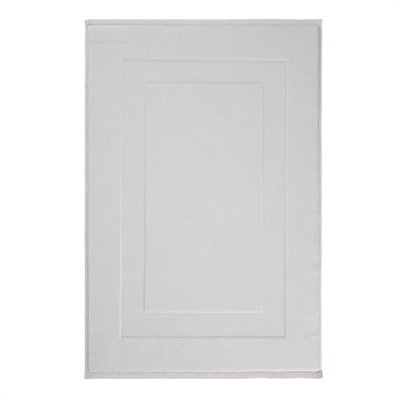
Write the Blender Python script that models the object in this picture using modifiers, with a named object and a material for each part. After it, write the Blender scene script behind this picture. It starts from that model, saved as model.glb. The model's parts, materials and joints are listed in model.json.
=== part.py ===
"""A cotton terry bath mat, lying flat.

One ground cloth carries terry pile on both faces, with a flat-woven frame band between the border and
the centre panel. Its two sides and two ends are folded twice to the underside and lockstitched. A
blank label lies under one corner, with its upper edge at the head end seam.

Units are metres. +X runs across the mat, +Y along it towards the head end, and +Z up. The origin is
on the floor under the middle of the mat.
"""

import math

import bmesh
import bpy

MM = 0.001

# Driving dimensions
BODY_WIDTH = 500 * MM  # over the folds of the two side hems
BODY_LENGTH = 760 * MM  # over the folds of the two end hems
END_HEM_WIDTH = 503.4 * MM  # the thicker end hems spread a little wider than the body
SIDE_HEM_DEPTH = 6.4 * MM  # outer fold to inner fold
END_HEM_DEPTH = 14.0 * MM
FRAME_OUTER_WIDTH = 347 * MM  # the flat-woven frame band, over its outer edge
FRAME_OUTER_LENGTH = 588 * MM
FRAME_INNER_WIDTH = 248 * MM  # and over the centre panel that it surrounds
FRAME_INNER_LENGTH = 482 * MM

# Thicknesses, from the floor up
PILE_HEIGHT = 2.6 * MM  # each face
GROUND_THICKNESS = 1.2 * MM
BAND_THICKNESS = 0.7 * MM  # pile yarns woven down flat
HEM_CLOTH = 0.9 * MM  # one layer of the pile-free cloth of a hem
HEM_LAYER_GAP = 0.2 * MM  # between the folded layers
HEM_SAG = 0.8 * MM  # how far a hem's outer fold drops towards the floor
PILE_SETBACK = 0.5 * MM  # from the edge of the ground cloth to the first loops
PILE_ROUNDING = 0.8 * MM

# Label, under the head end's left corner
LABEL_WIDTH = 74 * MM
LABEL_LENGTH = 32 * MM  # from the head end seam to its free edge
LABEL_THICKNESS = 0.5 * MM  # woven tape, folded once
LABEL_BASE = 0.1 * MM  # the loops round it keep it off the floor
LABEL_SIDE_MARGIN = 6 * MM  # from the edge of the border pile

# Seams
THREAD_RADIUS = 0.15 * MM
NEEDLE_THREAD_INSET = 1.3 * MM  # seam line, from a hem's inner fold
BOBBIN_THREAD_INSET = 1.7 * MM

GAP = 0.3 * MM  # kept between pieces that touch
OUTER_FOLD_STEPS = 8
INNER_FOLD_STEPS = 6
THREAD_BEVEL_RESOLUTION = 2
MERGE_DISTANCE = 0.00001

# Heights that follow from the thicknesses
GROUND_BASE = PILE_HEIGHT + GAP
GROUND_TOP = GROUND_BASE + GROUND_THICKNESS
UPPER_BASE = GROUND_TOP + GAP
GROUND_MIDDLE = (GROUND_BASE + GROUND_TOP) / 2

# Half sizes that follow from the hems
GROUND_HALF_WIDTH = BODY_WIDTH / 2 - SIDE_HEM_DEPTH - GAP
GROUND_HALF_LENGTH = BODY_LENGTH / 2 - END_HEM_DEPTH - GAP
PILE_HALF_WIDTH = GROUND_HALF_WIDTH - PILE_SETBACK
PILE_HALF_LENGTH = GROUND_HALF_LENGTH - PILE_SETBACK

WHITE_TERRY = (0.84, 0.82, 0.83, 1.0)
WHITE_FLAT_WEAVE = (0.82, 0.80, 0.81, 1.0)
WHITE_HEM = (0.80, 0.77, 0.78, 1.0)
WHITE_THREAD = (0.78, 0.74, 0.75, 1.0)
WHITE_TAPE = (0.86, 0.86, 0.86, 1.0)


def clear_scene():
    for old in list(bpy.data.objects):
        bpy.data.objects.remove(old)


def new_collection(name):
    collection = bpy.data.collections.new(name)
    bpy.context.scene.collection.children.link(collection)
    return collection


def cotton(name, color, roughness):
    material = bpy.data.materials.new(name)
    material.use_nodes = True
    shader = material.node_tree.nodes["Principled BSDF"]
    shader.inputs["Base Color"].default_value = color
    shader.inputs["Roughness"].default_value = roughness
    shader.inputs["Metallic"].default_value = 0.0
    return material


def place(collection, name, data, color, roughness):
    """One sub-part: an object with its own material."""
    piece = bpy.data.objects.new(name, data)
    piece.data.materials.append(cotton(name, color, roughness))
    collection.objects.link(piece)
    return piece


def add_rectangle(curve, half_width, half_length):
    """A closed rectangular outline round the origin, for a flat shape or a hole in one."""
    spline = curve.splines.new("POLY")
    spline.points.add(3)
    signs = ((-1, -1), (1, -1), (1, 1), (-1, 1))
    for point, (sx, sy) in zip(spline.points, signs):
        point.co = (sx * half_width, sy * half_length, 0.0, 1.0)
    spline.use_cyclic_u = True


def flat_panel(collection, name, outer, base, thickness, color, hole=None, rounding=0.0):
    """A rectangular layer of cloth or pile from its base height up, with a rectangular hole or none.

    outer and hole are (half width, half length).
    """
    curve = bpy.data.curves.new(name, "CURVE")
    curve.dimensions = "2D"
    curve.fill_mode = "BOTH"
    curve.extrude = thickness / 2
    add_rectangle(curve, *outer)
    if hole:
        add_rectangle(curve, *hole)
    piece = place(collection, name, curve, color, 0.95)
    piece.location.z = base + thickness / 2
    weld = piece.modifiers.new("Weld caps", "WELD")
    weld.merge_threshold = MERGE_DISTANCE
    if rounding:
        bevel = piece.modifiers.new("Rounded edges", "BEVEL")
        bevel.width = rounding
        bevel.segments = 2
        bevel.limit_method = "ANGLE"
    return piece


def as_mesh(collection, curve_piece):
    """Replaces a curve piece by a mesh of its evaluated shape, so that it can be cut."""
    name = curve_piece.name
    bpy.context.view_layer.update()
    evaluated = curve_piece.evaluated_get(bpy.context.evaluated_depsgraph_get())
    mesh = bpy.data.meshes.new_from_object(evaluated)
    matrix = curve_piece.matrix_world.copy()
    bpy.data.objects.remove(curve_piece)
    bm = bmesh.new()
    bm.from_mesh(mesh)
    bmesh.ops.remove_doubles(bm, verts=bm.verts, dist=MERGE_DISTANCE)
    bm.to_mesh(mesh)
    bm.free()
    mesh.name = name
    piece = bpy.data.objects.new(name, mesh)
    piece.matrix_world = matrix
    collection.objects.link(piece)
    return piece


def box(collection, name, low, high):
    """A box between two opposite corners."""
    bpy.ops.mesh.primitive_cube_add(size=1)
    piece = bpy.context.object
    piece.name = piece.data.name = name
    for owner in list(piece.users_collection):
        owner.objects.unlink(piece)
    collection.objects.link(piece)
    size = [b - a for a, b in zip(low, high)]
    for vertex in piece.data.vertices:
        vertex.co = [part * side for part, side in zip(vertex.co, size)]
    piece.location = [(a + b) / 2 for a, b in zip(low, high)]
    return piece


def arc(centre_u, centre_z, radius, start, end, steps):
    """Points along an arc in a hem's section, angles in degrees, without its first point."""
    points = []
    for i in range(1, steps + 1):
        angle = math.radians(start + (end - start) * i / steps)
        points.append((centre_u + radius * math.cos(angle), centre_z + radius * math.sin(angle)))
    return points


def hem_section(depth):
    """The centreline of a double-folded hem as (u, z), u measured outwards from the inner fold.

    The cloth runs out from the body, folds down and back under itself, then turns up and out again,
    so that its raw edge lies hidden between the other two layers.
    """
    pitch = HEM_CLOTH + HEM_LAYER_GAP
    half_cloth = HEM_CLOTH / 2
    top = GROUND_MIDDLE
    bottom = top - 2 * pitch
    outer_centre = depth - half_cloth - pitch
    inner_centre = half_cloth + pitch / 2
    points = [(0.0, top), (outer_centre, top)]
    points += arc(outer_centre, top - pitch, pitch, 90, -90, OUTER_FOLD_STEPS)
    points.append((inner_centre, bottom))
    points += arc(inner_centre, bottom + pitch / 2, pitch / 2, 270, 90, INNER_FOLD_STEPS)
    points.append((outer_centre - HEM_LAYER_GAP, top - pitch))
    return [(u, z - HEM_SAG * u / depth) for u, z in points]


def folded_hem(collection, name, depth, inner_line, half_run, side):
    """A hem's folded cloth, swept along its edge of the mat.

    inner_line is the distance from the middle of the mat to the inner fold, half_run is half the
    hem's length, and side is the (x, y) direction that the hem faces.
    """
    side_x, side_y = side
    mesh = bpy.data.meshes.new(name)
    bm = bmesh.new()
    section = []
    for u, z in hem_section(depth):
        reach = inner_line + u
        start = (reach * side_x - half_run * side_y, reach * side_y + half_run * side_x, z)
        section.append(bm.verts.new(start))
    edges = [bm.edges.new(pair) for pair in zip(section, section[1:])]
    swept = bmesh.ops.extrude_edge_only(bm, edges=edges)["geom"]
    swept_verts = [item for item in swept if isinstance(item, bmesh.types.BMVert)]
    run = (2 * half_run * side_y, -2 * half_run * side_x, 0.0)
    bmesh.ops.translate(bm, verts=swept_verts, vec=run)
    bmesh.ops.recalc_face_normals(bm, faces=bm.faces)
    bm.to_mesh(mesh)
    bm.free()
    piece = place(collection, name, mesh, WHITE_HEM, 0.9)
    cloth = piece.modifiers.new("Cloth thickness", "SOLIDIFY")
    cloth.thickness = HEM_CLOTH
    cloth.offset = 0.0
    cloth.use_even_offset = True
    mesh.shade_smooth()
    mesh.set_sharp_from_angle(angle=math.radians(50))
    return piece


def seam_thread(collection, name, line, height, half_run, side):
    """A straight run of sewing thread along a seam, with closed ends."""
    side_x, side_y = side
    curve = bpy.data.curves.new(name, "CURVE")
    curve.dimensions = "3D"
    curve.bevel_depth = THREAD_RADIUS
    curve.bevel_resolution = THREAD_BEVEL_RESOLUTION
    curve.use_fill_caps = True
    spline = curve.splines.new("POLY")
    spline.points.add(1)
    for point, run in zip(spline.points, (-half_run, half_run)):
        point.co = (line * side_x - run * side_y, line * side_y + run * side_x, height, 1.0)
    return place(collection, name, curve, WHITE_THREAD, 0.7)


def hem_with_seam(collection, label, depth, inner_line, half_run, side):
    """One hem: its folded cloth, the needle thread on top and the bobbin thread underneath."""
    folded_hem(collection, label + "_hem", depth, inner_line, half_run, side)
    clearance = HEM_CLOTH / 2 + GAP + THREAD_RADIUS
    thread_run = half_run - PILE_SETBACK
    needle_drop = HEM_SAG * NEEDLE_THREAD_INSET / depth
    needle_height = GROUND_MIDDLE + clearance - needle_drop
    needle_line = inner_line + NEEDLE_THREAD_INSET
    seam_thread(collection, label + "_needle_thread", needle_line, needle_height, thread_run, side)
    bottom_layer = GROUND_MIDDLE - 2 * (HEM_CLOTH + HEM_LAYER_GAP)
    bobbin_drop = HEM_SAG * (BOBBIN_THREAD_INSET + THREAD_RADIUS) / depth
    bobbin_height = bottom_layer - clearance - bobbin_drop
    bobbin_line = inner_line + BOBBIN_THREAD_INSET
    seam_thread(collection, label + "_bobbin_thread", bobbin_line, bobbin_height, thread_run, side)


def woven_cloth(collection):
    """The ground cloth, the pile on both faces, and the flat frame band on both faces."""
    ground = (GROUND_HALF_WIDTH, GROUND_HALF_LENGTH)
    border = (PILE_HALF_WIDTH, PILE_HALF_LENGTH)
    frame_outer = (FRAME_OUTER_WIDTH / 2, FRAME_OUTER_LENGTH / 2)
    centre = (FRAME_INNER_WIDTH / 2, FRAME_INNER_LENGTH / 2)
    band = tuple(half - GAP for half in frame_outer)
    band_hole = tuple(half + GAP for half in centre)
    flat_panel(collection, "ground_cloth", ground, GROUND_BASE, GROUND_THICKNESS, WHITE_FLAT_WEAVE)
    for face, pile_base, band_base in (
        ("upper", UPPER_BASE, UPPER_BASE),
        ("under", 0.0, PILE_HEIGHT - BAND_THICKNESS),
    ):
        flat_panel(
            collection, "border_pile_" + face, border, pile_base, PILE_HEIGHT, WHITE_TERRY,
            hole=frame_outer, rounding=PILE_ROUNDING,
        )
        flat_panel(
            collection, "centre_pile_" + face, centre, pile_base, PILE_HEIGHT, WHITE_TERRY,
            rounding=PILE_ROUNDING,
        )
        flat_panel(
            collection, "frame_band_" + face, band, band_base, BAND_THICKNESS, WHITE_FLAT_WEAVE,
            hole=band_hole,
        )


def hems(collection):
    """The two end hems, which run the full width, and the two side hems between them."""
    end_line = BODY_LENGTH / 2 - END_HEM_DEPTH
    side_line = BODY_WIDTH / 2 - SIDE_HEM_DEPTH
    side_half_run = end_line - GAP
    for label, direction in (("head_end", 1), ("foot_end", -1)):
        hem_with_seam(collection, label, END_HEM_DEPTH, end_line, END_HEM_WIDTH / 2, (0, direction))
    for label, direction in (("left_side", -1), ("right_side", 1)):
        hem_with_seam(collection, label, SIDE_HEM_DEPTH, side_line, side_half_run, (direction, 0))


def corner_label(collection, cutters):
    """The blank label, and the hollow that it presses into the loops under the mat."""
    left = -PILE_HALF_WIDTH + LABEL_SIDE_MARGIN
    right = left + LABEL_WIDTH
    head = GROUND_HALF_LENGTH
    foot = head - LABEL_LENGTH
    top = LABEL_BASE + LABEL_THICKNESS
    label = box(collection, "corner_label", (left, foot, LABEL_BASE), (right, head, top))
    label.data.materials.append(cotton("corner_label", WHITE_TAPE, 0.5))
    below, beyond = -1 * MM, head + 1 * MM
    hollow = box(
        cutters, "label_hollow", (left - GAP, foot - GAP, below), (right + GAP, beyond, top + GAP)
    )
    hollow.hide_render = True
    hollow.display_type = "WIRE"
    under_pile = as_mesh(collection, bpy.data.objects["border_pile_under"])
    cut = under_pile.modifiers.new("Pressed by the label", "BOOLEAN")
    cut.operation = "DIFFERENCE"
    cut.solver = "EXACT"
    cut.object = hollow


def main():
    clear_scene()
    collection = new_collection("bath_mat")
    cutters = new_collection("cutters")
    woven_cloth(collection)
    hems(collection)
    corner_label(collection, cutters)


main()
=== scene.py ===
"""The looks of a cotton terry bath mat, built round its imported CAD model.

Every piece is first shaped in loom coordinates, square and flat, where x and y are those of the CAD
model. settle() then lays it down as the finished mat lies: a little skewed, with soft puckers beside
its hems. All lengths are in metres.
"""

import json
import math
from typing import NamedTuple

import bpy
import numpy as np
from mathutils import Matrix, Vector

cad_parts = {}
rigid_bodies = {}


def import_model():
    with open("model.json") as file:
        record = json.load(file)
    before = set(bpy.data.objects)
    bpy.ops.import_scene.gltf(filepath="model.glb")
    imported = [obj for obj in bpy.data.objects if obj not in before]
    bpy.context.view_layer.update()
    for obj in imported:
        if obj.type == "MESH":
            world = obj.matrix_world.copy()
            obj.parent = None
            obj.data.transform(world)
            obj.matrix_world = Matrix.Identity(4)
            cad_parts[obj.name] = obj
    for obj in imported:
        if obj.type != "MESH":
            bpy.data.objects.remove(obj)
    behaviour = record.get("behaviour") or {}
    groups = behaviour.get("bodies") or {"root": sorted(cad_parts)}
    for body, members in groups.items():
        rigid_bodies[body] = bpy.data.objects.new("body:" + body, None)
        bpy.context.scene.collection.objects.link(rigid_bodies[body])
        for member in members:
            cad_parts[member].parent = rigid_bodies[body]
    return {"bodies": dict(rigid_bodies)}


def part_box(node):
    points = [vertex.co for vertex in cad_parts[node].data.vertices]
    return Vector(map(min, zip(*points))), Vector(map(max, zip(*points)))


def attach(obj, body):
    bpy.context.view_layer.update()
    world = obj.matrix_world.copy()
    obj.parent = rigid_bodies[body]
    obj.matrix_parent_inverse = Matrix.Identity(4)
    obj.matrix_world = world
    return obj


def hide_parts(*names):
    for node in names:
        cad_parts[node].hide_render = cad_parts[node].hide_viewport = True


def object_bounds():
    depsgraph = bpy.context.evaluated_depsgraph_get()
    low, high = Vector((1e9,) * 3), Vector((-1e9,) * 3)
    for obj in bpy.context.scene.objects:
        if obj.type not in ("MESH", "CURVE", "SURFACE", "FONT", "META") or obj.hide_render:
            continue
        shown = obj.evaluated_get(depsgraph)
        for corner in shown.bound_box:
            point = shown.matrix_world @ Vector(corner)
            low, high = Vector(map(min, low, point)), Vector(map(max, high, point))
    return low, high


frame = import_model()
cad_low, cad_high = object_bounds()

MM = 0.001

# Plan sizes, from the frame. Each is (half width, half length).
def half_size(node):
    low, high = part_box(node)
    return (high.x - low.x) / 2, (high.y - low.y) / 2


BORDER = half_size("border_pile_upper")
FRAME = half_size("frame_band_upper")
CENTRE = half_size("centre_pile_upper")
GROUND = half_size("ground_cloth")
END_HALF_WIDTH = half_size("head_end_hem")[0]
BODY_HALF_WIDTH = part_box("right_side_hem")[1].x
BODY_HALF_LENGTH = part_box("head_end_hem")[1].y
SIDE_FOLD_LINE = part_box("right_side_hem")[0].x
END_FOLD_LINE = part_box("head_end_hem")[0].y

# Heights, from the frame
PILE_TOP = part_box("border_pile_upper")[1].z
BAND_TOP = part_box("frame_band_upper")[1].z
GROUND_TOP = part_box("ground_cloth")[1].z
GROUND_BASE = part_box("ground_cloth")[0].z
UNDER_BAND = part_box("frame_band_under")[0].z

LABEL_LOW, LABEL_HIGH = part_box("corner_label")

# Terry
LOOP_PITCH = (2.3 * MM, 2.0 * MM)
LOOP_RADII = (1.60 * MM, 1.00 * MM)
LOOP_LEAN, LOOP_LEAN_SPREAD = math.radians(33), math.radians(80)
LOOP_HEIGHT = 0.36 * MM
ROW_RISE = 0.18  # every other row of loops stands taller, as a share of a loop's height
PILE_FOOT = 0.45 * MM  # the steep foot of a panel's edge beside the flat band
PILE_SHOULDER = 7.5 * MM  # how far in from there the pile reaches its full height
BORDER_STEEPNESS = (2.7, 1.4, 1.2, 1.5)  # of those edges: right, left, head and foot
CENTRE_STEEPNESS = (2.3, 1.8, 2.0, 1.3)
HEM_FOOT, HEM_SHOULDER = 0.8 * MM, 10.0 * MM  # the same beside a hem, whose seam pulls the pile down
HEM_WALL, HEM_STEEPNESS = 0.30, 2.5  # the share of the height right at a hem, and the sides' steepness
RIM_HIGHLIGHT, RIM_WIDTH = 0.8, 1.6 * MM  # a painted highlight along an edge's loops, which lifts the painted shade between them
RAGGEDNESS = 0.30 * MM  # how far the edges' loops stray to each side of a straight line
STITCH_PULL = 1.3 * MM  # and how far in each of its stitches pulls the pile
PLAIN_CORNER, PULLED_CORNER = 2 * MM, 10 * MM  # the border's corner radii, the second at foot-right
PILE_OVERHANG = 1.25 * MM  # how far the outer loops bulge over the hems
BAND_OVERHANG = 0.3 * MM  # and how far the border's, and the centre's, bulge over the flat band
CENTRE_OVERHANG = 0.7 * MM
FINE_STEP = 0.85 * MM
COARSE_STEP = 1.5 * MM

# Flat weave
WARP_PITCH = 2.3 * MM
WEFT_PITCH = 2.15 * MM
WEAVE_DEPTH = 0.10 * MM
BAND_TUCK = 1.5 * MM  # how far the band runs on under the pile beside it
GUTTER_DEPTH, GUTTER_WIDTH = 0.25 * MM, 1.0 * MM  # the crease where the band meets the pile

# Hems and seams
HEM_CLOTH = 0.9 * MM
HEM_LAYER_GAP = 0.2 * MM
RIB_PITCH = 5.1 * MM
RIB_SHADE = 1.1 / MM  # how much painted shade a groove gets, for its depth
SIDE_STITCH = 3.4 * MM
SEAM_INSET = 1.3 * MM
PRESSED = 0.7  # below 1, the outer fold is squarer than a half round
END_SPREAD = 1.5 * MM  # how much wider an end hem is at its fold than at its seam
THREAD_RADIUS = 0.17 * MM

TABLE = 512  # lattice size of the random tables, which repeat beyond it


# ---------------------------------------------------------------- smooth functions and noise

def smoothstep(start, end, value):
    t = np.clip((value - start) / (end - start), 0.0, 1.0)
    return t * t * (3 - 2 * t)


def bell(value, centre, width):
    return np.exp(-(((value - centre) / width) ** 2))


def value_noise(x, y, size_x, size_y, seed):
    """Smooth noise from -1 to 1 whose features are about size_x by size_y."""
    table = np.random.default_rng(seed).uniform(-1, 1, (TABLE, TABLE))
    u, v = x / size_x, y / size_y
    i, j = np.floor(u).astype(int), np.floor(v).astype(int)
    fu, fv = u - i, v - j
    fu, fv = fu * fu * (3 - 2 * fu), fv * fv * (3 - 2 * fv)
    i0, i1, j0, j1 = i % TABLE, (i + 1) % TABLE, j % TABLE, (j + 1) % TABLE
    low = table[i0, j0] * (1 - fu) + table[i1, j0] * fu
    high = table[i0, j1] * (1 - fu) + table[i1, j1] * fu
    return low * (1 - fv) + high * fv


# ---------------------------------------------------------------- how the finished mat lies

# Puckers beside the side hems: (side, place along it, how far in, slant, height)
PUCKERS = (
    (-1, 0.287, 0.050, 0.30, 0.5 * MM),
    (-1, 0.245, 0.060, 0.30, 0.9 * MM),
    (-1, 0.150, 0.040, 0.20, 0.4 * MM),
    (-1, 0.099, 0.045, 0.10, 0.5 * MM),
    (-1, 0.048, 0.040, 0.20, 0.6 * MM),
    (-1, -0.028, 0.060, 0.10, 0.8 * MM),
    (-1, -0.140, 0.050, 0.10, 0.5 * MM),
    (-1, -0.170, 0.050, 0.10, 0.5 * MM),
    (-1, -0.207, 0.060, 0.15, 0.7 * MM),
    (-1, -0.243, 0.060, 0.29, 0.8 * MM),
    (-1, -0.280, 0.050, 0.30, 0.6 * MM),
    (1, 0.310, 0.050, 0.00, 0.5 * MM),
    (1, 0.262, 0.070, 0.10, 0.8 * MM),
    (1, 0.195, 0.070, 0.10, 1.3 * MM),
    (1, 0.101, 0.045, 0.00, 0.5 * MM),
    (1, 0.058, 0.045, 0.00, 0.5 * MM),
    (1, -0.030, 0.050, -0.10, 0.8 * MM),
    (1, -0.094, 0.055, -0.15, 0.8 * MM),
    (1, -0.119, 0.055, -0.15, 0.6 * MM),
    (1, -0.146, 0.065, -0.30, 0.9 * MM),
    (1, -0.235, 0.060, -0.40, 0.6 * MM),
    (1, -0.282, 0.070, -0.40, 0.6 * MM),
    (1, -0.330, 0.055, -0.30, 0.4 * MM),
)
PUCKER_WIDTH = 7.5  # how wide a pucker is, for its height
LABEL_RISE = LABEL_HIGH.z + 0.5 * MM  # how far the label under the corner lifts the mat
LABEL_DROP = 7 * MM  # how far beyond the label the mat comes down again


def puckers(x, y):
    """How high the puckers beside the side hems stand."""
    height = np.zeros_like(x)
    for side, place, reach, slant, rise in PUCKERS:
        inward = BODY_HALF_WIDTH - side * x
        across = y - place - slant * inward
        height += rise * smoothstep(reach, 0.1 * reach, inward) * bell(across, 0, PUCKER_WIDTH * rise)
    return height


def over_label(x, y):
    """From 0 beyond the label to 1 over it."""
    across = smoothstep(-LABEL_DROP, 0, np.minimum(x - LABEL_LOW.x, LABEL_HIGH.x - x))
    return across * smoothstep(-LABEL_DROP, 0, y - LABEL_LOW.y) * smoothstep(0, 12 * MM, LABEL_HIGH.y - y)


def lift(x, y):
    """How far the cloth stands up off the floor."""
    height = 0.30 * MM * (1 + value_noise(x, y, 0.11, 0.14, 11))
    height += 0.12 * MM * (1 + value_noise(x + 0.6 * y, y - 0.6 * x, 0.05, 0.022, 12))
    height += 0.9 * MM * bell(x, -0.208, 0.018) * bell(y, -0.315, 0.035)
    height += LABEL_RISE * over_label(x, y)
    return height + puckers(x, y)


def outline_shift(x, y):
    """The hand-sewn outline wanders by up to about a millimetre."""
    near_right = smoothstep(0.19, 0.25, x)
    near_left = smoothstep(0.19, 0.25, -x)
    near_head = smoothstep(0.33, 0.38, y)
    near_foot = smoothstep(0.33, 0.38, -y)
    right = 1.2 - 0.4 * bell(y, 0.26, 0.04) + 0.3 * bell(y, 0.335, 0.02) - 0.9 * bell(y, 0.155, 0.03)
    right = right - 0.5 * smoothstep(0.345, 0.372, y) - 0.75 * bell(y, -0.185, 0.045)
    right = right + 0.3 * smoothstep(0.30, 0.33, -y) + 0.6 * smoothstep(0.355, 0.37, -y)
    left = 0.6 * bell(y, 0.36, 0.02) - 0.5 * bell(y, -0.10, 0.04) - 0.5 * smoothstep(-0.12, 0.0, y)
    left = left + 1.0 * smoothstep(0.362, 0.370, np.abs(y))
    head = 1.6 + 0.9 * bell(x, 0.125, 0.04) + 0.4 * bell(x, -0.13, 0.02) - 0.6 * bell(x, 0.205, 0.012)
    head = head - 1.7 * bell(x, -0.251, 0.009)
    foot = 1.4 * bell(x, 0.120, 0.02) + 1.3 * bell(x, 0.205, 0.02) - 0.4 * bell(x, 0.04, 0.06) - 0.7
    foot = foot + 1.4 * smoothstep(0.243, 0.249, x)
    head_seam = (0.9 - 1.4 * bell(x, 0.05, 0.12)) * bell(y, 0.366, 0.010)
    foot_seam = (1.8 + 0.6 * smoothstep(0.0, 0.2, x)) * bell(y, -0.366, 0.010)
    dx = (right * near_right + left * near_left) * MM
    dy = (head * near_head + foot * near_foot + head_seam + foot_seam) * MM
    return dx, dy


def weave_shift(x, y):
    """The woven pattern lies a little off centre and off square in the hemmed mat."""
    inside = smoothstep(0.240, 0.190, np.abs(x)) * smoothstep(0.37, 0.31, np.abs(y))
    dx = 2.0 + 1.6 * smoothstep(0.10, 0.27, y)
    dx = dx - 2.0 * smoothstep(0.14, 0.24, -y) * smoothstep(0.05, 0.16, -x)
    dx = dx + 0.5 * bell(x, 0.124, 0.03) - 1.0 * bell(x, -0.122, 0.02) * smoothstep(0.12, 0.20, -y)
    dx = dx - 1.7 * smoothstep(0.15, 0.172, x) * smoothstep(0.12, 0.08, y)
    dy = 0.6 - 10.0 * x * smoothstep(0.17, 0.29, y) - 0.5 * smoothstep(0.23, 0.29, y)
    dy = dy + (1.3 - 0.6 * smoothstep(0.04, -0.04, x)) * smoothstep(0.25, 0.285, -y) + 1.7 * bell(y, 0.241, 0.025) + 0.7 * smoothstep(0.26, 0.29, y)
    dy = dy + 1.2 * bell(y, -0.241, 0.02)
    dy = dy - 1.1 * bell(x, 0.020, 0.025) * (bell(y, 0.241, 0.02) + bell(y, -0.241, 0.02))
    ragged = 0.22 * value_noise(x, y, 0.012, 0.012, 21)
    return (dx + ragged) * inside * MM, (dy + ragged) * inside * MM


def settle(points):
    """Lays points from loom coordinates down as the finished mat lies."""
    x, y, z = points[:, 0], points[:, 1], points[:, 2]
    outline_x, outline_y = outline_shift(x, y)
    weave_x, weave_y = weave_shift(x, y)
    z = np.maximum(z + lift(x, y), 0)
    return np.stack((x + outline_x + weave_x, y + outline_y + weave_y, z), axis=1)


# ---------------------------------------------------------------- mesh helpers

def mesh_piece(name, points, faces, shades=None):
    """An object from settled points and quads. shades is one number a point, kept for the materials."""
    mesh = bpy.data.meshes.new(name)
    mesh.vertices.add(len(points))
    mesh.vertices.foreach_set("co", settle(points).astype(np.float32).ravel())
    mesh.loops.add(faces.size)
    mesh.loops.foreach_set("vertex_index", faces.astype(np.int32).ravel())
    mesh.polygons.add(len(faces))
    mesh.polygons.foreach_set("loop_start", np.arange(0, faces.size, 4, dtype=np.int32))
    mesh.update(calc_edges=True)
    mesh.shade_smooth()
    if shades is not None:
        attribute = mesh.attributes.new("shade", "FLOAT", "POINT")
        attribute.data.foreach_set("value", shades.astype(np.float32))
    piece = bpy.data.objects.new(name, mesh)
    bpy.context.scene.collection.objects.link(piece)
    return piece


def lines(half, holes, step, edge_step=0.30 * MM, edge_zone=1.2 * MM):
    """Grid lines from -half to half, closer together beside the outer edges and the holes' edges."""
    marks = sorted({-half, half, *holes, *(-h for h in holes)})
    stops = [marks[0]]
    for start, end in zip(marks, marks[1:]):
        length = end - start
        zone = min(edge_zone, length / 3)
        fine = max(1, round(zone / edge_step))
        plain = max(1, round((length - 2 * zone) / step))
        stops += list(start + zone * np.arange(1, fine + 1) / fine)
        stops += list(start + zone + (length - 2 * zone) * np.arange(1, plain + 1) / plain)
        stops += list(end - zone + zone * np.arange(1, fine + 1) / fine)
    return np.array(stops)


def grid(outer, hole, step):
    """x, y and quads of a rectangle's grid, without the faces inside its hole."""
    holes_x = [hole[0]] if hole else []
    holes_y = [hole[1]] if hole else []
    xs, ys = lines(outer[0], holes_x, step), lines(outer[1], holes_y, step)
    x, y = np.meshgrid(xs, ys, indexing="ij")
    index = np.arange(x.size).reshape(x.shape)
    corners = (index[:-1, :-1], index[1:, :-1], index[1:, 1:], index[:-1, 1:])
    quads = np.stack([c.ravel() for c in corners], axis=1)
    x, y = x.ravel(), y.ravel()
    if hole:
        middle_x, middle_y = x[quads].mean(axis=1), y[quads].mean(axis=1)
        keep = (np.abs(middle_x) > hole[0]) | (np.abs(middle_y) > hole[1])
        quads = quads[keep]
        used, inverse = np.unique(quads, return_inverse=True)
        quads = inverse.reshape(quads.shape)
        x, y = x[used], y[used]
    return x, y, quads


def edge_distance(x, y, half, corner=2 * MM):
    """How far inside a rectangle with round corners each point lies, below 0 outside it."""
    dx, dy = half[0] - np.abs(x), half[1] - np.abs(y)
    over_x, over_y = np.maximum(corner - dx, 0), np.maximum(corner - dy, 0)
    return np.where((over_x > 0) & (over_y > 0), corner - np.hypot(over_x, over_y), np.minimum(dx, dy))


def rounded(distance, radius):
    """A quarter round from 0 at an edge to 1 where the full height is reached."""
    t = np.clip(distance / radius, 0, 1)
    return np.sqrt(1 - (1 - t) ** 2)


# ---------------------------------------------------------------- the woven pieces

def loop_field(x, y, seed):
    """Terry loops, as domes on a jittered lattice: from 0 between the loops to about 1 on their tops."""
    rng = np.random.default_rng(seed)
    shift_x, shift_y, tall, angle, plump = rng.uniform(0, 1, (5, TABLE, TABLE))
    pitch_x, pitch_y = LOOP_PITCH
    row = np.floor(y / pitch_y).astype(int)
    highest = np.zeros_like(x)
    for step_y in (-1, 0, 1):
        j = row + step_y
        stagger = 0.5 * (j % 2)
        row_rise = ROW_RISE * (1 - 2 * (j % 2))
        column = np.floor(x / pitch_x - stagger).astype(int)
        for step_x in (-1, 0, 1):
            i = column + step_x
            at = (i % TABLE, j % TABLE)
            u = x - (i + stagger + 0.5 + 0.55 * (shift_x[at] - 0.5)) * pitch_x
            v = y - (j + 0.5 + 0.55 * (shift_y[at] - 0.5)) * pitch_y
            turn = LOOP_LEAN + LOOP_LEAN_SPREAD * (angle[at] - 0.5)
            cos, sin = np.cos(turn), np.sin(turn)
            size = 0.85 + 0.35 * plump[at]
            along = (u * cos + v * sin) / (LOOP_RADII[0] * size)
            across = (v * cos - u * sin) / (LOOP_RADII[1] * size)
            dome = (0.80 + 0.32 * tall[at] + row_rise) * (1 - along**2 - across**2)
            highest = np.maximum(highest, dome)
    return highest


def stitch_pull(x, y, outer):
    """How far the stitches of the hems pull the border's edge in: a scallop at every stitch hole."""
    run = x * END_HALF_WIDTH / (END_HALF_WIDTH - END_SPREAD)
    at_ends = stitch_groove(run, RIB_PITCH) * smoothstep(8 * MM, 0, outer[1] - np.abs(y))
    at_sides = stitch_groove(y, SIDE_STITCH) * smoothstep(4 * MM, 0, outer[0] - np.abs(x))
    return STITCH_PULL * np.maximum(at_ends, 0.7 * at_sides)


def stretched_distance(x, y, half, stretch_x, stretch_y, corner):
    """The edge distance stretched along x and y, so that a slope which follows it is steeper."""
    return edge_distance(stretch_x * x, stretch_y * y, (stretch_x * half[0], stretch_y * half[1]), corner)


def band_slope_distance(x, y, half, steepness, corner):
    """The same for a panel's edges beside the band, each of which has its own steepness."""
    right, left, head, foot = steepness
    stretch_x = np.where(x > 0, right, left)
    stretch_y = np.where(y > 0, head, foot)
    return stretched_distance(x, y, half, stretch_x, stretch_y, corner)


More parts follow.
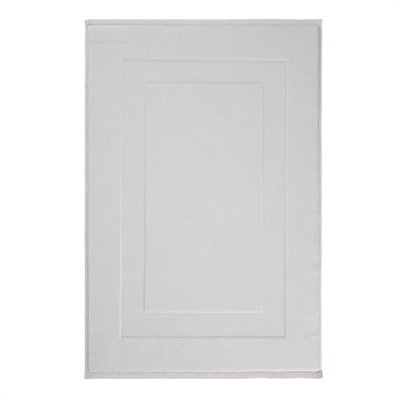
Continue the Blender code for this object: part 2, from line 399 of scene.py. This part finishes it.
def pile(name, outer, hole, face, seed, step):
    """A panel of terry. face is 1 on top of the mat and -1 underneath."""
    x, y, quads = grid(outer, hole, step)
    ragged = RAGGEDNESS * (value_noise(x, y, 2.6 * MM, 2.6 * MM, seed + 1) - 1)
    if hole:
        corner = np.where((x > 0) & (y < 0), PULLED_CORNER, PLAIN_CORNER)
        pulled = ragged - stitch_pull(x, y, outer)
        beside_hem = pulled + edge_distance(x, y, outer, corner)
        beside_band = ragged - edge_distance(x, y, hole, 0)
        foot = rounded(beside_hem, HEM_FOOT) * rounded(beside_band, PILE_FOOT)
        hem_slope = pulled + stretched_distance(x, y, outer, HEM_STEEPNESS, 1, corner)
        band_slope = ragged - band_slope_distance(x, y, hole, BORDER_STEEPNESS, 0)
        grown = 1 - (1 - np.clip(hem_slope / HEM_SHOULDER, 0, 1)) ** 2
        shoulder = np.minimum(HEM_WALL + (1 - HEM_WALL) * grown, rounded(band_slope, PILE_SHOULDER))
        edge = np.minimum(2 * beside_hem, beside_band)
    else:
        edge = beside_band = ragged + edge_distance(x, y, outer)
        foot = rounded(beside_band, PILE_FOOT)
        band_slope = ragged + band_slope_distance(x, y, outer, CENTRE_STEEPNESS, 2 * MM)
        shoulder = rounded(band_slope, PILE_SHOULDER)
    loops = loop_field(x, y, seed)
    clumps = value_noise(x, y, 6 * MM, 6 * MM, seed + 2)
    streaks = value_noise(0.7 * (x + y), 0.7 * (y - x), 13 * MM, 4 * MM, seed + 3)
    surface = LOOP_HEIGHT * (loops - 1) + 0.02 * MM * clumps + 0.04 * MM * streaks
    low_part, high_part = BAND_TOP - GROUND_TOP, PILE_TOP - BAND_TOP + 0.15 * MM
    height = foot * (low_part + high_part * shoulder + surface * (0.35 + 0.65 * shoulder))
    if face > 0:
        height = GROUND_TOP + height
    else:
        height = GROUND_BASE - height * GROUND_BASE / (PILE_TOP - GROUND_TOP)
        quads = quads[:, ::-1]
    points = np.stack((x, y, height), axis=1)
    # Painted shade between the loops, lifted by a painted highlight along the panel's edges.
    loops = np.clip(loops, 0, 1)
    shade = loops + (1 - loops) * RIM_HIGHLIGHT * bell(edge, RIM_WIDTH, RIM_WIDTH)
    return mesh_piece(name, points, quads, shade)


def yarns(t, pitch, seed):
    """Yarns side by side along t, as (round height from -1 to 1, each yarn's own number).

    The numbers run from -1 to 1. Those of neighbours differ, as thick and thin yarns alternate.
    """
    number = np.floor(t / pitch).astype(int)
    table = np.random.default_rng(seed).uniform(-1, 1, TABLE)
    kind = 0.15 * table[number % TABLE] + 0.5 * (1 - 2 * (number % 2))
    return -np.cos(2 * math.pi * (t / pitch - number)), kind


def flat_band(name, outer, hole, face, seed, step):
    """The flat-woven frame: a close grid of warp and weft, sunk between the two panels of pile."""
    x, y, quads = grid(
        (outer[0] + BAND_TUCK, outer[1] + BAND_TUCK), (hole[0] - BAND_TUCK, hole[1] - BAND_TUCK), step
    )
    warp, warp_kind = yarns(x, WARP_PITCH, seed)
    weft, weft_kind = yarns(y, WEFT_PITCH, seed + 1)
    dashes = value_noise(x, y, 4.5 * MM, WEFT_PITCH, seed + 2)
    weave = 0.30 * warp * (1 + 0.5 * warp_kind) + 0.45 * weft * (1 + 0.7 * weft_kind) + 0.25 * dashes
    outer_edge = bell(edge_distance(x, y, outer), 0, GUTTER_WIDTH)
    inner_edge = bell(edge_distance(x, y, hole), 0, GUTTER_WIDTH)
    crease = outer_edge + 0.3 * inner_edge
    gutter = GUTTER_DEPTH * crease
    if face > 0:
        height = BAND_TOP + WEAVE_DEPTH * (weave - 1) - gutter
    else:
        height = UNDER_BAND - WEAVE_DEPTH * (weave - 1) + gutter
        quads = quads[:, ::-1]
    points = np.stack((x, y, height), axis=1)
    # The yarns' own tones, with painted shade in the crease beside the pile.
    shade = 0.7 + 0.16 * weft_kind + 0.10 * warp_kind + 0.05 * dashes - 0.15 * crease
    return mesh_piece(name, points, quads, shade)


def ground_cloth(name):
    """The ground that carries the pile, a closed thin sheet that shows only at the foot of the hems."""
    x, y, quads = grid(GROUND, None, 8 * MM)
    count = len(x)
    top = np.stack((x, y, np.full(count, GROUND_TOP - 0.1 * MM)), axis=1)
    bottom = np.stack((x, y, np.full(count, GROUND_BASE + 0.1 * MM)), axis=1)
    edges = np.concatenate([quads[:, [i, (i + 1) % 4]] for i in range(4)])
    keys = np.sort(edges, axis=1)
    unique, first, times = np.unique(keys, axis=0, return_index=True, return_counts=True)
    rim = edges[first[times == 1]]
    walls = np.stack((rim[:, 1], rim[:, 0], rim[:, 0] + count, rim[:, 1] + count), axis=1)
    faces = np.concatenate((quads, quads[:, ::-1] + count, walls))
    return mesh_piece(name, np.concatenate((top, bottom)), faces)


# ---------------------------------------------------------------- hems and seams

class Hem(NamedTuple):
    """One hem. side is the (x, y) direction that it faces, and its run goes clockwise along it."""

    label: str
    side: tuple
    inner_line: float  # from the middle of the mat to the inner fold
    depth: float
    half_run: float
    stitch: float
    puff: float  # how much higher the folded cloth stands than layers pressed flat
    sag: float  # how far the outer fold drops towards the floor
    end_shades: tuple = (0.0, 0.0)  # how much painted shade its cloth gets towards the two ends of its run, painted light below 0
    rib_depth: float = 0.0
    corner_shades: tuple = (0.0, 0.0)  # and how much more painted shade the last stretch gets, painted light below 0


def fold_path(depth):
    """The centreline of a double-folded hem, as in the CAD model: (u, z), u outwards from the inner fold."""
    pitch = HEM_CLOTH + HEM_LAYER_GAP
    top = (GROUND_BASE + GROUND_TOP) / 2
    bottom = top - 2 * pitch
    outer = depth - HEM_CLOTH / 2 - pitch
    inner = HEM_CLOTH / 2 + pitch / 2
    path = [(u, top) for u in np.arange(0, outer, 0.6 * MM)]
    for angle in np.radians(np.linspace(90, -90, 15)):
        across, up = math.cos(angle) ** PRESSED, math.copysign(abs(math.sin(angle)) ** PRESSED, angle)
        path.append((outer + pitch * across, top - pitch + pitch * up))
    path += [(u, bottom) for u in np.arange(outer - 1.2 * MM, inner + 0.3 * MM, -1.2 * MM)]
    for angle in np.radians(np.linspace(270, 90, 9)):
        u, z = inner + pitch / 2 * math.cos(angle), bottom + pitch / 2 * (1 + math.sin(angle))
        path.append((u, z))
    path.append((outer - 2 * HEM_LAYER_GAP, top - pitch))
    return np.array(path)


def thickened(path, thickness):
    """A closed outline round a centreline, half the thickness to each side."""
    along = np.gradient(path, axis=0)
    along /= np.linalg.norm(along, axis=1)[:, None]
    normal = np.stack((-along[:, 1], along[:, 0]), axis=1)
    return np.concatenate((path + normal * thickness / 2, (path - normal * thickness / 2)[::-1]))


def stitch_groove(run, pitch):
    """From 0 between two stitch holes to 1 at a hole, narrower than a wave."""
    return (0.5 + 0.5 * np.cos(2 * math.pi * run / pitch)) ** 1.5


def seam_squeeze(u, run, pitch):
    """How much the needle thread pulls the folded layers together: most at the stitch holes."""
    return bell(u, SEAM_INSET, 0.8 * MM) * (0.02 + 0.34 * stitch_groove(run, pitch))


def rib_grooves(hem, u, run):
    """The folds that each stitch gathers across an end hem: 0 on a rib, up to 1 in a groove."""
    number = np.round(run / RIB_PITCH).astype(int)
    table = np.random.default_rng(31).uniform(0.6, 1.0, TABLE)
    from_end = hem.half_run - np.abs(run)
    clear = 0.2 + 0.8 * smoothstep(6 * MM, 45 * MM, from_end)
    lean = 0.25 * u * value_noise(run, 0 * run, 60 * MM, 1.0, 32)
    return clear * table[number % TABLE] * stitch_groove(run + lean, RIB_PITCH)


def hem_shape(hem, u, z, run):
    """Presses, puffs and ribs a hem's section at places along its run. Returns the new u and z."""
    middle = (GROUND_BASE + GROUND_TOP) / 2 - HEM_CLOTH - HEM_LAYER_GAP
    rise = smoothstep(-0.9 * MM, 0.5 * MM, u) * smoothstep(hem.depth, hem.depth - 1.5 * MM, u)
    scale = 1 + hem.puff * rise * (z > middle) - seam_squeeze(u, run, hem.stitch)
    from_end = hem.half_run - np.abs(run)
    if hem.rib_depth:
        scale = scale + 0.16 * smoothstep(16 * MM, 3 * MM, from_end)
        groove = rib_grooves(hem, u, run)
        outward = smoothstep(hem.depth - 2.2 * MM, hem.depth, u)
        scale = scale - hem.rib_depth / (1.5 * HEM_CLOTH + HEM_LAYER_GAP) * groove * (1 - outward)
        u = u - 0.7 * MM * groove * outward
    droop = hem.sag * u / hem.depth
    z = middle + (z - middle) * scale - droop
    wobble = 0.25 * MM * value_noise(run, 0 * run, 30 * MM, 1.0, 33)
    return u + wobble * smoothstep(0.5 * hem.depth, hem.depth, u), z


def hem_shade(hem, u, run):
    """How light the hem's cloth is painted at a place: painted shade in its grooves, beside the seam, along
    the outer fold, towards its ends and at its corners.
    """
    along = 0.5 + 0.5 * run / hem.half_run
    # Painted shade towards the two ends of the run.
    shade = 1 - hem.end_shades[0] * (1 - along) ** 2 - hem.end_shades[1] * along**2
    # Painted shade in the seam's groove and along the outer fold.
    shade = shade - 0.55 * seam_squeeze(u, run, hem.stitch)
    shade = shade - 0.2 * smoothstep(hem.depth - 1.5 * MM, hem.depth, u)
    if hem.rib_depth:
        # Painted shade in the rib grooves, and more towards the corners.
        shade = shade - RIB_SHADE * hem.rib_depth * rib_grooves(hem, u, run)
        corner_shade = np.where(run < 0, *hem.corner_shades)
        shade = shade - corner_shade * smoothstep(32 * MM, 2 * MM, hem.half_run - np.abs(run))
    return shade


def hem_position(hem, u, z, run):
    """A hem's own coordinates as loom coordinates."""
    side_x, side_y = hem.side
    if side_y:
        spread = END_HALF_WIDTH - END_SPREAD * (1 - smoothstep(0, 0.8 * hem.depth, u))
        run = run * spread / hem.half_run
    reach = hem.inner_line + u
    x = reach * side_x + run * side_y
    y = reach * side_y - run * side_x
    return np.stack((x, y, z), axis=-1)


def swept(index):
    """Quads that join the rows of a closed outline's points, and close its ends. index is (outline, run)."""
    ahead = np.roll(index, -1, axis=0)
    sides = (index[:, :-1], index[:, 1:], ahead[:, 1:], ahead[:, :-1])
    ends = []
    for column, flip in ((0, False), (-1, True)):
        ring = index[:, column]
        for i in range(len(ring) // 2 - 1):
            quad = [ring[i], ring[i + 1], ring[-2 - i], ring[-1 - i]]
            ends.append(quad[::-1] if flip else quad)
    return np.concatenate((np.stack([part.ravel() for part in sides], axis=1), np.array(ends)))


def folded_hem(hem):
    """One hem: its cloth folded twice, swept along the edge, with its ends closed."""
    outline = thickened(fold_path(hem.depth), HEM_CLOTH)
    count = max(2, round(2 * hem.half_run / FINE_STEP))
    runs = np.linspace(-hem.half_run, hem.half_run, count + 1)
    u, run = np.meshgrid(outline[:, 0], runs, indexing="ij")
    z = np.repeat(outline[:, 1][:, None], len(runs), axis=1)
    points = hem_position(hem, *hem_shape(hem, u, z, run), run).reshape(-1, 3)
    faces = swept(np.arange(u.size).reshape(u.shape))
    return mesh_piece(hem.label + "_folded_hem", points, faces, hem_shade(hem, u, run).ravel())


def folded_label(name):
    """The blank label: a tape folded once at its free edge, with both ends in the head end seam."""
    tape = 0.2 * MM
    radius = 0.12 * MM
    length = LABEL_HIGH.y - LABEL_LOW.y
    path = [(v, 2 * radius) for v in np.arange(0, length - radius, 1.0 * MM)]
    for angle in np.radians(np.linspace(90, -90, 9)):
        path.append((length - radius + radius * math.cos(angle), radius * (1 + math.sin(angle))))
    path += [(v, 0.0) for v in np.arange(length - 1.5 * MM, 0, -1.0 * MM)]
    outline = thickened(np.array(path), tape)
    runs = np.linspace(LABEL_LOW.x, LABEL_HIGH.x, 75)
    v, x = np.meshgrid(outline[:, 0], runs, indexing="ij")
    y = LABEL_HIGH.y - v
    z = LABEL_LOW.z + tape / 2 + np.repeat(outline[:, 1][:, None], len(runs), axis=1)
    z = z - LABEL_RISE * over_label(x, y)
    points = np.stack((x, y, z), axis=-1).reshape(-1, 3)
    return mesh_piece(name, points, swept(np.arange(v.size).reshape(v.shape)))


def seam_thread(hem, kind, face):
    """The row of stitches on one face of a hem: a thread that lies on the cloth and dives at each hole."""
    per_stitch = 10
    inset = 2 * MM
    first = math.ceil((-hem.half_run + inset) / hem.stitch)
    last = math.floor((hem.half_run - inset) / hem.stitch)
    run = np.linspace(first * hem.stitch, last * hem.stitch, (last - first) * per_stitch + 1)
    hole = (0.5 + 0.5 * np.cos(2 * math.pi * run / hem.stitch)) ** 6
    middle = (GROUND_BASE + GROUND_TOP) / 2 - HEM_CLOTH - HEM_LAYER_GAP
    surface = middle + face * (1.5 * HEM_CLOTH + HEM_LAYER_GAP)
    u, z = hem_shape(hem, np.full(run.shape, SEAM_INSET), np.full(run.shape, surface), run)
    z = z + face * THREAD_RADIUS * (0.7 - 3.2 * hole)
    centre = hem_position(hem, u, z, run)
    along = np.gradient(centre, axis=0)
    along /= np.linalg.norm(along, axis=1)[:, None]
    across = np.cross(along, (0.0, 0.0, 1.0))
    across /= np.linalg.norm(across, axis=1)[:, None]
    upward = np.cross(across, along)
    sides = 6
    rings = []
    for k in range(sides):
        angle = 2 * math.pi * k / sides
        rings.append(centre + THREAD_RADIUS * (math.cos(angle) * across + math.sin(angle) * upward))
    points = np.stack(rings, axis=1).reshape(-1, 3)
    index = np.arange(len(points)).reshape(len(run), sides)
    ahead = np.roll(index, -1, axis=1)
    quads = np.stack(
        [part.ravel() for part in (index[:-1], ahead[:-1], ahead[1:], index[1:])], axis=1
    )
    caps = []
    for ring, flip in ((index[0], True), (index[-1], False)):
        for quad in (ring[[0, 1, 2, 3]], ring[[0, 3, 4, 5]]):
            caps.append(quad[::-1] if flip else quad)
    return mesh_piece(f"{hem.label}_{kind}_stitches", points, np.concatenate((quads, np.array(caps))))


# ---------------------------------------------------------------- materials

def cotton(name, color, shadow, sheen):
    """A matt cotton material. Returns it with its node tree and shader, ready for its own pattern."""
    material = bpy.data.materials.new(name)
    material.use_nodes = True
    tree = material.node_tree
    shader = tree.nodes["Principled BSDF"]
    shader.inputs["Roughness"].default_value = 0.95
    shader.inputs["Specular IOR Level"].default_value = 0.15
    shader.inputs["Sheen Weight"].default_value = sheen
    shader.inputs["Sheen Roughness"].default_value = 0.5
    return material, tree, shader


def node(tree, kind, **settings):
    made = tree.nodes.new(kind)
    for key, value in settings.items():
        if hasattr(made, key):
            setattr(made, key, value)
        else:
            made.inputs[key.replace("_", " ")].default_value = value
    return made


def noise(tree, scale, detail=3.0, roughness=0.6, coords=None):
    made = tree.nodes.new("ShaderNodeTexNoise")
    made.inputs["Scale"].default_value = scale
    made.inputs["Detail"].default_value = detail
    made.inputs["Roughness"].default_value = roughness
    coords = coords or tree.nodes.new("ShaderNodeTexCoord").outputs["Object"]
    tree.links.new(coords, made.inputs["Vector"])
    return made.outputs["Fac"]


def spread(tree, value, low, high):
    """Maps 0 to 1 onto low to high."""
    made = tree.nodes.new("ShaderNodeMapRange")
    made.inputs["To Min"].default_value = low
    made.inputs["To Max"].default_value = high
    tree.links.new(value, made.inputs["Value"])
    return made.outputs["Result"]


def combine(tree, operation, a, b):
    made = tree.nodes.new("ShaderNodeMath")
    made.operation = operation
    for socket, value in zip(made.inputs, (a, b)):
        if isinstance(value, (int, float)):
            socket.default_value = value
        else:
            tree.links.new(value, socket)
    return made.outputs["Value"]


def fine_weave(tree, pitch, fuzz):
    """The over and under of fine yarns, from -0.25 to 0.25, with some fuzz."""
    coords = tree.nodes.new("ShaderNodeTexCoord").outputs["Object"]
    waves = []
    for direction in ("X", "Y"):
        wave = tree.nodes.new("ShaderNodeTexWave")
        wave.bands_direction = direction
        wave.inputs["Scale"].default_value = WAVE_PERIOD / pitch
        wave.inputs["Distortion"].default_value = 0.6
        tree.links.new(coords, wave.inputs["Vector"])
        waves.append(combine(tree, "SUBTRACT", wave.outputs["Fac"], 0.5))
    return combine(tree, "ADD", combine(tree, "MULTIPLY", *waves), spread(tree, fuzz, -0.15, 0.15))


def two_tone(tree, shader, factor, dark, light):
    mix = tree.nodes.new("ShaderNodeMix")
    mix.data_type = "RGBA"
    mix.inputs["A"].default_value = (*dark, 1)
    mix.inputs["B"].default_value = (*light, 1)
    tree.links.new(factor, mix.inputs["Factor"])
    tree.links.new(mix.outputs["Result"], shader.inputs["Base Color"])


def bump(tree, shader, height, strength, distance):
    made = tree.nodes.new("ShaderNodeBump")
    made.inputs["Strength"].default_value = strength
    made.inputs["Distance"].default_value = distance
    tree.links.new(height, made.inputs["Height"])
    tree.links.new(made.outputs["Normal"], shader.inputs["Normal"])


WAVE_PERIOD = 2 * math.pi / 20  # the period of a wave texture whose scale is 1
FINE_YARN = 0.9 * MM

# The dark colour of each pair is that of painted shade between the loops, in the band's crease and in the
# hems' grooves, seam, fold, ends and corners; random tone reaches towards it too.
PILE_LIGHT, PILE_DARK = (0.663, 0.656, 0.678), (0.593, 0.564, 0.574)
FLAT_LIGHT, FLAT_DARK = (0.675, 0.665, 0.686), (0.551, 0.515, 0.521)
HEM_LIGHT, HEM_DARK = (0.702, 0.669, 0.680), (0.42, 0.37, 0.365)
THREAD_COLOR = (0.62, 0.59, 0.59)


def terry_material():
    material, tree, shader = cotton("terry", PILE_LIGHT, PILE_DARK, 0.15)
    shade = tree.nodes.new("ShaderNodeAttribute")
    shade.attribute_name = "shade"
    fine = noise(tree, 900)
    patches = noise(tree, 35, 2)
    factor = combine(tree, "MULTIPLY", shade.outputs["Fac"], 1.2)
    factor = combine(tree, "ADD", factor, spread(tree, patches, -0.10, 0.10))
    factor = combine(tree, "ADD", factor, spread(tree, fine, -0.30, 0.30))
    two_tone(tree, shader, factor, PILE_DARK, PILE_LIGHT)
    bump(tree, shader, fine, 0.5, 0.4 * MM)
    return material


def weave_material(name, light, dark):
    material, tree, shader = cotton(name, light, dark, 0.08)
    shade = tree.nodes.new("ShaderNodeAttribute")
    shade.attribute_name = "shade"
    fine = noise(tree, 1100)
    factor = combine(tree, "ADD", shade.outputs["Fac"], spread(tree, fine, -0.25, 0.25))
    two_tone(tree, shader, factor, dark, light)
    bump(tree, shader, fine_weave(tree, FINE_YARN, fine), 0.5, 0.35 * MM)
    return material


def hem_material():
    material, tree, shader = cotton("hem_weave", HEM_LIGHT, HEM_DARK, 0.08)
    shade = tree.nodes.new("ShaderNodeAttribute")
    shade.attribute_name = "shade"
    fine = noise(tree, 1100)
    factor = combine(tree, "ADD", shade.outputs["Fac"], spread(tree, fine, -0.15, 0.15))
    two_tone(tree, shader, factor, HEM_DARK, HEM_LIGHT)
    bump(tree, shader, fine_weave(tree, FINE_YARN, fine), 0.5, 0.35 * MM)
    return material


def thread_material():
    material, tree, shader = cotton("sewing_thread", THREAD_COLOR, THREAD_COLOR, 0.1)
    fine = noise(tree, 2500)
    two_tone(tree, shader, fine, tuple(0.9 * c for c in THREAD_COLOR), THREAD_COLOR)
    shader.inputs["Roughness"].default_value = 0.6
    bump(tree, shader, fine, 0.3, 0.1 * MM)
    return material


def label_material():
    material, tree, shader = cotton("label_tape", (0.72, 0.72, 0.72), (0.6, 0.6, 0.6), 0.0)
    coords = tree.nodes.new("ShaderNodeTexCoord").outputs["Object"]
    ribs = tree.nodes.new("ShaderNodeTexWave")
    ribs.bands_direction = "Y"
    ribs.inputs["Scale"].default_value = WAVE_PERIOD / (0.25 * MM)
    ribs.inputs["Distortion"].default_value = 1.5
    tree.links.new(coords, ribs.inputs["Vector"])
    fine = noise(tree, 2000)
    factor = combine(tree, "ADD", ribs.outputs["Fac"], spread(tree, fine, -0.2, 0.2))
    two_tone(tree, shader, factor, (0.64, 0.64, 0.65), (0.72, 0.72, 0.73))
    shader.inputs["Roughness"].default_value = 0.45
    bump(tree, shader, ribs.outputs["Fac"], 0.5, 0.05 * MM)
    return material


# ---------------------------------------------------------------- the mat

TERRY, FLAT, HEM, THREAD, TAPE = (
    terry_material(),
    weave_material("flat_weave", FLAT_LIGHT, FLAT_DARK),
    hem_material(),
    thread_material(),
    label_material(),
)


def finish_piece(piece, material, cad_node):
    piece.data.materials.append(material)
    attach(piece, "root" if "root" in frame["bodies"] else next(iter(frame["bodies"])))
    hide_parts(cad_node)
    return piece


def hems():
    """The two end hems, which run the full width, and the two side hems between them."""
    end = (END_FOLD_LINE, BODY_HALF_LENGTH - END_FOLD_LINE, END_HALF_WIDTH, RIB_PITCH)
    side = (SIDE_FOLD_LINE, BODY_HALF_WIDTH - SIDE_FOLD_LINE, END_FOLD_LINE, SIDE_STITCH)
    return (
        Hem(
            "head_end", (0, 1), *end, puff=0.5, sag=0.8 * MM, end_shades=(0.08, -0.09), rib_depth=0.27 * MM,
            corner_shades=(0.24, -0.05),
        ),
        Hem(
            "foot_end", (0, -1), *end, puff=0.5, sag=0.8 * MM, end_shades=(0.34, 0.09), rib_depth=0.28 * MM,
            corner_shades=(0.34, 0.28),
        ),
        Hem("left_side", (-1, 0), *side, puff=0.6, sag=0.8 * MM, end_shades=(0.12, 0)),
        Hem("right_side", (1, 0), *side, puff=0.25, sag=0.4 * MM, end_shades=(0.31, 0.05)),
    )


def build_mat():
    """Every piece of the mat. Returns the ground cloth and the list of what is woven or sewn onto it."""
    border = (BORDER[0] + PILE_OVERHANG, BORDER[1] + PILE_OVERHANG)
    window = (FRAME[0] - BAND_OVERHANG, FRAME[1] - BAND_OVERHANG)
    centre = (CENTRE[0] + CENTRE_OVERHANG, CENTRE[1] + CENTRE_OVERHANG)
    rest = []
    for face, label, step in ((1, "upper", FINE_STEP), (-1, "under", COARSE_STEP)):
        made = pile("border_terry_" + label, border, window, face, 100 + face, step)
        rest.append(finish_piece(made, TERRY, "border_pile_" + label))
        made = pile("centre_terry_" + label, centre, None, face, 200 + face, step)
        rest.append(finish_piece(made, TERRY, "centre_pile_" + label))
        made = flat_band("frame_weave_" + label, FRAME, centre, face, 300 + face, step)
        rest.append(finish_piece(made, FLAT, "frame_band_" + label))
    for hem in hems():
        made = folded_hem(hem)
        rest.append(finish_piece(made, HEM, hem.label + "_hem"))
        for kind, face in (("needle", 1), ("bobbin", -1)):
            made = seam_thread(hem, kind, face)
            rest.append(finish_piece(made, THREAD, f"{hem.label}_{kind}_thread"))
    rest.append(finish_piece(folded_label("blank_label"), TAPE, "corner_label"))
    cloth = ground_cloth("woven_ground")
    finish_piece(cloth, FLAT, "ground_cloth")
    return cloth, rest


ground, sewn_on = build_mat()
HEM_ALLOWANCE = (3 * (BODY_HALF_WIDTH - SIDE_FOLD_LINE), 3 * (BODY_HALF_LENGTH - END_FOLD_LINE))


# ---------------------------------------------------------------- floor, light and camera

FLOOR_GLOW = 0.62
LIGHT_LEVEL = 1.098
WARM_WHITE, COOL_WHITE = (1.0, 0.975, 0.985), (0.975, 1.0, 1.0)
VIEW_WIDTH = 0.8475
CAMERA_X, CAMERA_Y = -6.4 * MM, -1.3 * MM


def stage_floor():
    material = bpy.data.materials.new("floor_white")
    material.use_nodes = True
    shader = material.node_tree.nodes["Principled BSDF"]
    shader.inputs["Base Color"].default_value = (0.50, 0.50, 0.50, 1)
    shader.inputs["Roughness"].default_value = 1.0
    shader.inputs["Specular IOR Level"].default_value = 0.0
    shader.inputs["Emission Color"].default_value = (1, 1, 1, 1)
    shader.inputs["Emission Strength"].default_value = FLOOR_GLOW
    bpy.ops.mesh.primitive_plane_add(size=12)
    floor = bpy.context.object
    floor.name = "floor"
    floor.location.z = cad_low.z - 0.1 * MM
    floor.data.materials.append(material)


def softbox(name, place, size, power, color):
    """A square area light that faces the middle of the mat."""
    light = bpy.data.lights.new(name, "AREA")
    light.color = color
    light.shape = "SQUARE"
    light.size = size
    light.energy = power
    made = bpy.data.objects.new(name, light)
    bpy.context.scene.collection.objects.link(made)
    made.location = place
    made.rotation_euler = (-Vector(place)).to_track_quat("-Z", "Y").to_euler()
    made.visible_camera = False


def studio():
    """Low softboxes at opposite ends rake the pile, and one overhead fills it."""
    world = bpy.data.worlds.new("studio")
    bpy.context.scene.world = world
    world.use_nodes = True
    background = world.node_tree.nodes["Background"]
    background.inputs["Color"].default_value = (1, 1, 1, 1)
    background.inputs["Strength"].default_value = 0.20 * LIGHT_LEVEL
    softbox("foot_softbox", (0.81, -1.50, 0.47), 0.5, 21.1 * LIGHT_LEVEL, WARM_WHITE)
    softbox("head_softbox", (-0.66, 1.48, 0.44), 0.5, 14.0 * LIGHT_LEVEL, WARM_WHITE)
    softbox("top_softbox", (-0.03, -0.01, 0.89), 0.5, 3.98 * LIGHT_LEVEL, COOL_WHITE)


def photo_camera():
    """Straight above the mat, which lies slightly right of the picture's middle."""
    camera = bpy.data.cameras.new("camera")
    camera.lens = 100
    camera.sensor_width = 36
    camera.clip_end = 50
    made = bpy.data.objects.new("camera", camera)
    made.location = (CAMERA_X, CAMERA_Y, VIEW_WIDTH * camera.lens / camera.sensor_width)
    bpy.context.scene.collection.objects.link(made)
    bpy.context.scene.camera = made


stage_floor()
studio()
photo_camera()
bpy.context.scene.view_settings.view_transform = "Standard"
